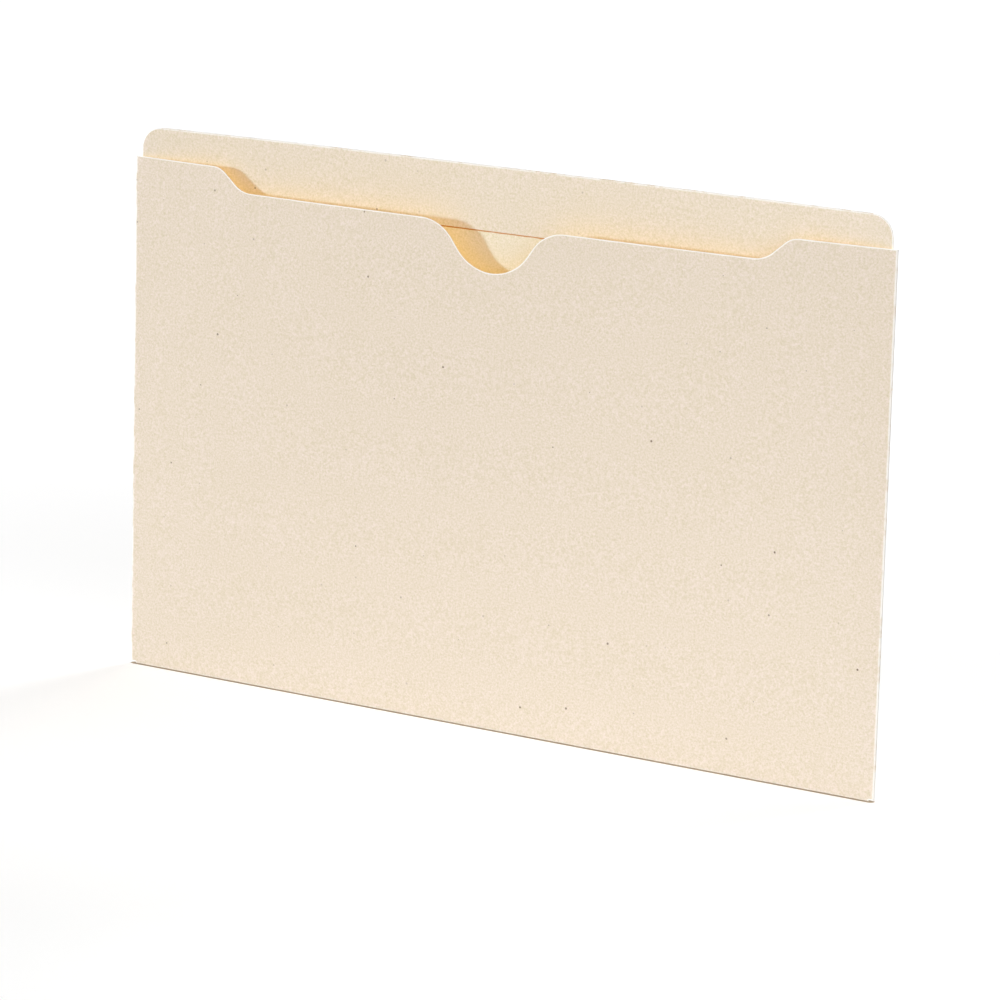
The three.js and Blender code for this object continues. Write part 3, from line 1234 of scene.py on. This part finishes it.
@dataclass(frozen=True)
class GlueFinish:
    """A thin film of dried paper glue, streaked as a roller leaves it. Its dark brown edge is partly
    glue and partly painted shade of the gap under the ply's foot.
    """

    name: str = "dried_glue"
    thin: Colour = (0.97, 0.95, 0.91)
    thick: Colour = (0.54, 0.25, 0.06)
    dark_edge_start: float = 1.2
    dark_edge_end: float = 2.2
    stretch: tuple[float, float, float] = (0.3, 1.0, 1.0)
    streak_scale: float = 0.6
    relief: Relief = Relief(bump=0.4, depth=0.0001, rough=0.25, rough_gain=0.3, specular=0.5)

    def build(self) -> bpy.types.Material:
        """Makes the material."""
        material, desk, shader = start_material(self.name)
        roller = {"Vector": place_in_mm(desk), "Scale": self.stretch}
        streak = desk.noise(desk.made("ShaderNodeMapping", 0, roller), self.streak_scale, detail=5.0)
        # Painted shade: the film turns dark brown near its edge, standing for the shadow gap under the
        # ply's foot as well as the glue.
        bead_and_gap_shade = 1.0 - desk.ramp(distance_to(desk, "edge"), self.dark_edge_start, self.dark_edge_end)
        self.relief.dress(desk, shader, desk.mix(bead_and_gap_shade, self.thin, self.thick), streak, streak)
        return material


class Finishes:
    """Every material of the jacket, built once."""

    def __init__(self) -> None:
        """Builds the shared groups and the materials."""
        effects = EffectGroups()
        # All four are one card. Their bases differ by a few percent as painted light, so that each face
        # renders as bright as it is lit; the inside of the back is lightest, as painted bounce light.
        outside = CardFinish(
            "manila_front", (0.788, 0.684, 0.56), glow=(0.95, 0.9, 0.75), deep_glow=(0.8, 0.75, 0.7)
        ).build(effects)
        warm = CardFinish(
            "manila_inside_front", (0.82, 0.72, 0.58), glow=(0.54, 0.26, 0.01),
            deep_glow=(0.42, 0.3, 0.22), seep=(0.2, 0.23, 0.07), fold_strength=0.0,
        ).build(effects)
        back = CardFinish("manila_back", (0.82, 0.715, 0.576)).build(effects)
        inside = CardFinish("manila_inside_back", (0.85, 0.76, 0.6), fold_strength=0.0).build(effects)
        edge = CutEdgeFinish().build(effects)
        glue = GlueFinish().build()
        self.front = Skin(outside, warm, edge)
        self.rear = Skin(back, inside, edge)
        self.flap = Skin(inside, back, edge)
        self.film = Skin(glue, glue, glue)


# --------------------------------------------------------------------------- sub-assemblies


@dataclass
class Sheet:
    """One piece of card or glue film, as it is placed on the jacket."""

    flat: FlatSheet
    setting: SheetSetting
    slot: str
    stands_for: tuple[str, ...]

    def dress(self, rule: FoldingRule, skin: Skin) -> bpy.types.Object:
        """Builds the piece and hides the CAD parts that it stands for.

        Args:
            rule: The folding rule.
            skin: The materials of its faces and rim.

        Returns:
            The finished piece, not yet on a body.
        """
        piece = self.flat.build()
        rule.apply(piece, self.setting, skin)
        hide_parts(*self.stands_for)
        return piece


def report(piece: bpy.types.Object) -> None:
    """Logs a piece's size and whether its mesh is closed."""
    check = bmesh.new()
    check.from_mesh(piece.data)
    open_edges = sum(not edge.is_manifold for edge in check.edges)
    size = [round(value / MM, 2) for value in piece.dimensions]
    log.info("%s: %d faces, %d open edges, %s mm", piece.name, len(check.faces), open_edges, size)
    check.free()


def seat(sheet: Sheet, rule: FoldingRule, skin: Skin) -> None:
    """Builds one sheet and sets it on the root body."""
    piece = sheet.dress(rule, skin)
    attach(piece, "root")
    report(piece)


@dataclass
class FrontPanel:
    """The front of the pocket in two halves, each with its side fold."""

    step: float = 5.0
    rows: int = 40
    wave: float = 0.5
    seed: float = 3.7
    fold_steps: int = 8
    fold_band: tuple[float, ...] = (0.4, 1.0, 2.0, 3.5)
    thumb_steps: int = 30
    rim_steps: int = 22
    ramp_foot_steps: int = 12
    ramp_head_steps: int = 10
    crease_half: float = 0.6
    bottom_fold_offset: float = 0.6
    level_end: float = 1.0
    bend_z: float = 0.1

    def places(self) -> list[float]:
        """Distances from the middle at which the flat half has a column."""
        *_, rim_end = PLAN.rim()
        foot, _, _, head = PLAN.ramp()
        wall, slope = PLAN.thumb_wall, PLAN.ramp_angle
        ring = math.pi * PLAN.fold_outer
        stations = [
            0.0,
            PLAN.fold_x,
            PLAN.tab_half,
            *arc_places(0.0, PLAN.thumb_radius, 0.0, wall, self.thumb_steps),
            *arc_places(rim_end, -PLAN.thumb_rim, wall, 0.0, self.rim_steps),
            *arc_places(foot, PLAN.ramp_foot, 0.0, slope, self.ramp_foot_steps),
            *arc_places(head, -PLAN.ramp_head, slope, 0.0, self.ramp_head_steps),
            *[PLAN.fold_x - inset for inset in self.fold_band],
        ]
        beyond = [PLAN.fold_x + ring * i / self.fold_steps for i in range(1, self.fold_steps + 1)]
        return tidy_places(stations, self.step) + beyond

    def column(self, x: float) -> list[Optional[float]]:
        """Heights on the pattern of one column, with half the bottom fold where it has one."""
        flat_x = min(x, PLAN.fold_x)
        wraps = x <= PLAN.tab_half + HAIR
        below = bottom_rows() if wraps else [None] * BOTTOM_STEPS
        low = 0.0 if wraps else PLAN.hinge_gap
        top = PLAN.front_top(flat_x) - PLAN.bottom_radius
        sloped = x < PLAN.fold_x - self.level_end
        rise = steepness(PLAN.front_top, flat_x) if sloped else 0.0
        return below + band_rows(low, top, 0.0, rise, self.rows, cut_low=False)

    def uncut(self, u: float, v: float) -> bool:
        """Tells whether the sheet's outline runs on into another sheet at a place."""
        ring_end = PLAN.fold_x + math.pi * PLAN.fold_outer
        return abs(u) < ON_LINE or v < ON_LINE - PLAN.bottom_quarter or abs(u) > ring_end - ON_LINE

    def off_folds(self, u: np.ndarray, v: np.ndarray) -> np.ndarray:
        """Distances to the side fold, or to the bottom fold counted from a little past it, so that the
        pale line there, partly painted highlight, is fainter.
        """
        side = np.maximum(np.abs(np.abs(u) - PLAN.fold_x - self.crease_half) - self.crease_half, 0)
        return np.minimum(side, np.maximum(v, 0) + self.bottom_fold_offset)

    def half(self, side: Side) -> Sheet:
        """Plans one half of the front.

        Args:
            side: Which half.

        Returns:
            The sheet, ready to be dressed.
        """
        places = self.places()
        columns = [side.value * x for x in places]
        rows = [self.column(x) for x in places]
        if side is Side.LEFT:
            columns, rows = columns[::-1], rows[::-1]
        name = side.name.lower()
        flat = FlatSheet(
            f"front_{name}_half", Layer.FRONT, columns, rows, joins=self.uncut, fold=self.off_folds
        )
        setting = SheetSetting(
            face_y=-PLAN.fold_outer,
            layer=Layer.FRONT,
            bow=-PLAN.front_bow,
            thickness=PLAN.card,
            wave=self.wave,
            seed=self.seed,
        )
        nodes = (f"front_panel_{name}_side", f"{name}_side_fold", "front_panel_centre", "bottom_fold")
        return Sheet(flat, setting, "card_outside", nodes)

    def build(self, rule: FoldingRule, finishes: Finishes) -> None:
        """Builds both halves and bakes each one's place into its mesh.

        Args:
            rule: The folding rule.
            finishes: The materials.
        """
        middle = (LAYER_SHIFT - PLAN.fold_outer) * MM
        for side in Side:
            piece = self.half(side).dress(rule, finishes.front)
            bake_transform(piece)
            report(piece)


@dataclass
class RearSheet:
    """The back panel with its tab, which turns over at the top and is glued down inside."""

    step: float = 5.0
    rows: int = 40
    ply_rows: int = 8
    corner_steps: int = 20
    ring_steps: int = 8
    steepest: float = 3.0
    wave: float = 0.5
    seed: float = 11.2
    ply_lift: float = 0.3
    lift_reach: float = 6.0
    lift_half: float = 160.0

    def places(self) -> list[float]:
        """Places across the jacket at which the flat sheet has a column."""
        ply_corner = PLAN.fold_x - (PLAN.shoulder_z + PLAN.flap_mitre_gap - PLAN.ply_foot_z)
        half = [
            0.0,
            PLAN.tab_corner_x,
            ply_corner,
            *arc_places(PLAN.tab_corner_x, PLAN.tab_corner, 0.0, math.pi / 2, self.corner_steps),
            *[PLAN.tab_half - inset for inset in EDGE_BAND],
        ]
        right = tidy_places(half, self.step)
        return [-x for x in right[:0:-1]] + right

    def column(self, x: float) -> list[Optional[float]]:
        """Heights on the pattern of one column: bottom fold, back, top fold and inner ply."""
        corner = abs(x) > PLAN.tab_corner_x + HAIR
        rise = min(abs(steepness(PLAN.tab_top, x)), self.steepest) if corner else 0.0
        top = PLAN.tab_top(x) - PLAN.bottom_radius
        back = band_rows(0.0, top, 0.0, rise, self.rows, cut_low=False)
        foot_z = PLAN.ply_foot(x)
        slope = 1.0 if foot_z > PLAN.ply_foot_z + HAIR else 0.0
        start, end = PLAN.unfolded(PLAN.tab_top(x)), PLAN.unfolded(foot_z)
        ply = band_rows(start, end, rise, slope, self.ply_rows)
        if corner:
            return bottom_rows() + back + [None] * self.ring_steps + ply
        turn = [
            PLAN.tab_fold_line + PLAN.tab_turn * i / self.ring_steps for i in range(1, self.ring_steps)
        ]
        return bottom_rows() + back + turn + [ply[0]] + ply

    def off_folds(self, u: np.ndarray, v: np.ndarray) -> np.ndarray:
        """Distances to the bottom fold or to the tab's fold."""
        half_turn = PLAN.tab_turn / 2
        return np.minimum(
            np.maximum(v, 0), np.maximum(np.abs(v - PLAN.tab_fold_line - half_turn) - half_turn, 0)
        )

    def build(self, rule: FoldingRule, finishes: Finishes) -> None:
        """Builds the sheet and sets it on the root body.

        Args:
            rule: The folding rule.
            finishes: The materials.
        """
        columns = self.places()
        quarter, ply_end = PLAN.bottom_quarter, PLAN.unfolded(PLAN.ply_foot_z)
        flat = FlatSheet(
            "back_sheet",
            Layer.REAR,
            columns,
            [self.column(x) for x in columns],
            joins=lambda u, v: (v < ON_LINE - quarter) | (v > ply_end - ON_LINE),
            fold=self.off_folds,
            lift=lambda u, v: (
                np.clip(1 - (ply_end - v) / self.lift_reach, 0, 1) ** 2 * (np.abs(u) < self.lift_half)
            ),
        )
        setting = SheetSetting(
            face_y=PLAN.back_outer_y,
            layer=Layer.REAR,
            bow=PLAN.back_bow,
            thickness=PLAN.card,
            wave=self.wave,
            seed=self.seed,
            lift=self.ply_lift,
        )
        nodes = ("back_panel", "tab_top_fold", "tab_inner_ply", "bottom_fold")
        seat(Sheet(flat, setting, "card_outside", nodes), rule, finishes.rear)


@dataclass
class GluedSeams:
    """The two side flaps behind the front, and the three glue films."""

    step: float = 4.0
    rows: int = 40
    film_rows: int = 8
    wave: float = 0.5
    seed: float = 11.2
    glue_edge: float = 0.2
    wander: tuple[float, float] = (0.9, 2.3)
    squeezed: float = 0.65

    def uneven(self, x: float) -> float:
        """How far a film's edge wanders from its outline at a place across the width."""
        slow, fast = self.wander
        return self.glue_edge * (math.sin(x * slow) + math.sin(x * fast + 1)) / 2

    def bead_foot(self, x: float) -> float:
        """Lower outline of the tab's film, which ends below the ply once its margin is added."""
        return PLAN.ply_foot(x) - PLAN.glue_margin - self.squeezed

    def strip(self, name: str, low: float, high: float, foot: Outline, head: Outline, rows: int,
              margin: float) -> FlatSheet:
        """Plans a flat strip between two outlines.

        Args:
            name: The piece's name.
            low: Its left end.
            high: Its right end.
            foot: Its lower outline.
            head: Its upper outline.
            rows: How many rows its open part has.
            margin: How far its outlines are drawn in, as for a glue film.

        Returns:
            The flat sheet.
        """
        base = PLAN.bottom_radius
        ends = [low + d for d in EDGE_BAND] + [high - d for d in EDGE_BAND]
        columns = tidy_places(ends, self.step)
        rows_at = []
        for x in columns:
            uneven = self.uneven(x) if margin else 0.0
            bottom = foot(x) - base + margin + uneven
            top = head(x) - base - margin - uneven
            rows_at.append(band_rows(bottom, top, steepness(foot, x), steepness(head, x), rows))
        return FlatSheet(name, Layer.FRONT, columns, rows_at)

    def build(self, rule: FoldingRule, finishes: Finishes) -> None:
        """Builds the flaps and films and sets them on the root body.

        Args:
            rule: The folding rule.
            finishes: The materials.
        """
        flap = dict(layer=Layer.FRONT, bow=PLAN.back_bow, wave=self.wave, seed=self.seed)
        card = SheetSetting(face_y=PLAN.fold_inner, thickness=PLAN.card, **flap)
        film = SheetSetting(face_y=PLAN.glue_y, thickness=PLAN.glue, pinch=0.0, **flap)
        margin = PLAN.glue_margin
        outlines = (PLAN.flap_foot, PLAN.flap_top, self.rows)
        for side in Side:
            name = side.name.lower()
            span = sorted((side.value * PLAN.flap_edge_x, side.value * PLAN.fold_x))
            strip = self.strip(f"{name}_flap_sheet", *span, *outlines, 0.0)
            strip.fold = lambda u, v: np.abs(PLAN.fold_x - np.abs(u))
            strip.joins = lambda u, v: abs(u) > PLAN.fold_x - ON_LINE
            seat(Sheet(strip, card, "card_inside", (f"{name}_flap",)), rule, finishes.flap)
            span = (side.value * (PLAN.flap_edge_x + margin), side.value * (PLAN.tab_half - margin))
            strip = self.strip(f"{name}_flap_glue_film", *sorted(span), *outlines, margin)
            seat(Sheet(strip, film, "glue", (f"{name}_flap_glue",)), rule, finishes.film)
        reach = PLAN.tab_corner_x - margin
        outlines = (self.bead_foot, PLAN.tab_top, self.film_rows)
        strip = self.strip("tab_glue_film", -reach, reach, *outlines, margin)
        seat(Sheet(strip, film, "glue", ("tab_glue",)), rule, finishes.film)


# --------------------------------------------------------------------------- studio


@dataclass(frozen=True)
class Lamp:
    """One studio lamp that looks at the jacket, placed by angles in degrees from the front."""

    name: str
    azimuth: float
    elevation: float
    away: float
    size: float
    power: float
    spot: float = 0.0
    spot_blend: float = 0.8
    aim: tuple[float, float, float] = (0.0, -0.01, 0.11)

    def build(self) -> None:
        """Adds the lamp, as a round soft area, or as a spot where it has a cone."""
        turn, lift = math.radians(self.azimuth), math.radians(self.elevation)
        level = math.cos(lift)
        way = Vector((math.sin(turn) * level, -math.cos(turn) * level, math.sin(lift)))
        light = bpy.data.lights.new(self.name, "SPOT" if self.spot else "AREA")
        light.energy = self.power
        if self.spot:
            light.spot_size = math.radians(self.spot)
            light.spot_blend = self.spot_blend
            light.shadow_soft_size = self.size / 2
        else:
            light.shape = "DISK"
            light.size = self.size
        lamp = bpy.data.objects.new(self.name, light)
        lamp.location = way * self.away + Vector(self.aim)
        lamp.rotation_euler = way.to_track_quat("Z", "Y").to_euler()
        bpy.context.scene.collection.objects.link(lamp)


@dataclass
class Studio:
    """The floor, the lights and the camera of the photograph."""

    focal_pixels: float = 4968.745
    picture_pixels: float = 1000.0
    azimuth: float = math.radians(31.859)
    elevation: float = math.radians(12.366)
    roll: float = math.radians(1.555)
    distance: float = 2096.325
    aim: tuple[float, float, float] = (3.983, 0.0, 100.598)
    sensor: float = 36.0
    clip: tuple[float, float] = (0.1, 50.0)
    sky: float = 0.25
    lamps: tuple[Lamp, ...] = (
        Lamp("key", azimuth=-46.5, elevation=5.0, away=12.0, size=1.4, power=930.0),
        Lamp("right_fill", azimuth=50.0, elevation=10.0, away=4.0, size=3.0, power=57.0),
        Lamp("back_fill", azimuth=165.0, elevation=25.0, away=4.0, size=2.0, power=100.0),
        Lamp("left_pool", azimuth=10.0, elevation=50.0, away=2.2, size=0.3, power=58.0, spot=11.0,
             aim=(-0.13, -0.2, 0.0)),
        Lamp("right_pool", azimuth=10.0, elevation=50.0, away=2.2, size=0.3, power=66.0, spot=11.0,
             aim=(0.15, -0.2, 0.0)),
    )
    floor_size: float = 12.0
    floor_tone: float = 0.8
    floor_roughness: float = 0.9
    seen_tone: Colour = (0.9, 0.9, 0.9)
    painted_contact_shadow_tone: Colour = (0.48, 0.39, 0.29)
    contact_shadow_band: tuple[float, float] = (0.001, 0.0027)
    foot_half: float = 0.1855
    near_lift: float = 0.42
    far_lift: float = 0.1
    lift_band: tuple[float, float] = (0.3, 0.9)

    def build(self) -> None:
        """Sets up the world, the floor, the lamps, the camera and the view settings."""
        bpy.context.scene.view_settings.view_transform = "Standard"
        self.add_world()
        self.add_floor()
        for lamp in self.lamps:
            lamp.build()
        self.add_camera()

    def add_camera(self) -> None:
        """Places the camera by its angles, as they were fitted to the photograph."""
        az, el = self.azimuth, self.elevation
        ahead = Vector((-math.sin(az) * math.cos(el), math.cos(az) * math.cos(el), -math.sin(el)))
        level = Vector((math.cos(az), math.sin(az), 0.0))
        above = level.cross(ahead)
        right = math.cos(self.roll) * level + math.sin(self.roll) * above
        up = math.cos(self.roll) * above - math.sin(self.roll) * level
        data = bpy.data.cameras.new("camera")
        data.sensor_width = self.sensor
        data.lens = self.focal_pixels * self.sensor / self.picture_pixels
        data.clip_start, data.clip_end = self.clip
        camera = bpy.data.objects.new("camera", data)
        place = (Vector(self.aim) - self.distance * ahead) * MM
        turn = Matrix((right, up, -ahead)).transposed().to_4x4()
        camera.matrix_world = Matrix.Translation(place) @ turn
        bpy.context.scene.collection.objects.link(camera)
        bpy.context.scene.camera = camera

    def add_world(self) -> None:
        """Adds an even sky that the camera, gloss and glass see as white."""
        world = bpy.data.worlds.new("world")
        bpy.context.scene.world = world
        world.use_nodes = True
        world.node_tree.nodes.clear()
        desk = NodeDesk(world.node_tree)
        strength = self.sky + self.seen_as_white(desk) * (1.0 - self.sky)
        inputs = {"Strength": strength, "Color": (1.0, 1.0, 1.0)}
        light = desk.made("ShaderNodeBackground", 0, inputs)
        desk.node("ShaderNodeOutputWorld", {"Surface": light})

    @staticmethod
    def seen_as_white(desk: NodeDesk) -> Term:
        """1 for rays from the camera, a glossy surface or a clear one, and else 0."""
        ray = desk.outputs("ShaderNodeLightPath")
        some = ray["Is Camera Ray"].at_least(ray["Is Glossy Ray"])
        return some.at_least(ray["Is Transmission Ray"])

    def add_floor(self) -> None:
        """Adds the pale floor.

        The camera sees it lifted to white, a little more so far away. In a narrow line round the
        jacket's foot the lift is taken away and its colour turns to a painted contact shadow.
        """
        material, desk, shader = start_material("floor")
        seen = self.seen_as_white(desk)
        place = desk.outputs("ShaderNodeTexCoord")["Object"]
        away = desk.made("ShaderNodeVectorMath", "Value", {0: place}, operation="LENGTH")
        flat = desk.split(place)
        past_end = (abs(flat["X"]) - self.foot_half).at_least(0.0)
        from_foot = (past_end**2.0 + flat["Y"] ** 2.0).math("SQRT")
        # Painted contact shadow: near the foot the floor's colour darkens to a brown-grey, and the lift
        # that whitens it is taken away.
        clear = desk.ramp(from_foot, *self.contact_shadow_band)
        lift = (self.near_lift + desk.ramp(away, *self.lift_band) * self.far_lift) * clear
        seen_tone = desk.mix(clear, self.painted_contact_shadow_tone, self.seen_tone)
        desk.fill(shader, {
            "Base Color": desk.mix(seen, (self.floor_tone,) * 3, seen_tone),
            "Roughness": self.floor_roughness,
            "Specular IOR Level": 0.0,
            "Emission Color": (1.0, 1.0, 1.0),
            "Emission Strength": seen * lift,
        })
        half = self.floor_size / 2
        corners = [(-half, -half, 0), (half, -half, 0), (half, half, 0), (-half, half, 0)]
        data = bpy.data.meshes.new("floor")
        data.from_pydata(corners, [], [(0, 1, 2, 3)])
        data.materials.append(material)
        floor = bpy.data.objects.new("floor", data)
        bpy.context.scene.collection.objects.link(floor)


def main() -> None:
    """Builds the jacket and its studio."""
    logging.basicConfig(level=logging.INFO, format="%(message)s")
    finishes = Finishes()
    rule = FoldingRule()
    for part in (FrontPanel(), RearSheet(), GluedSeams()):
        part.build(rule, finishes)
    Studio().build()


if __name__ == "__main__":
    main()
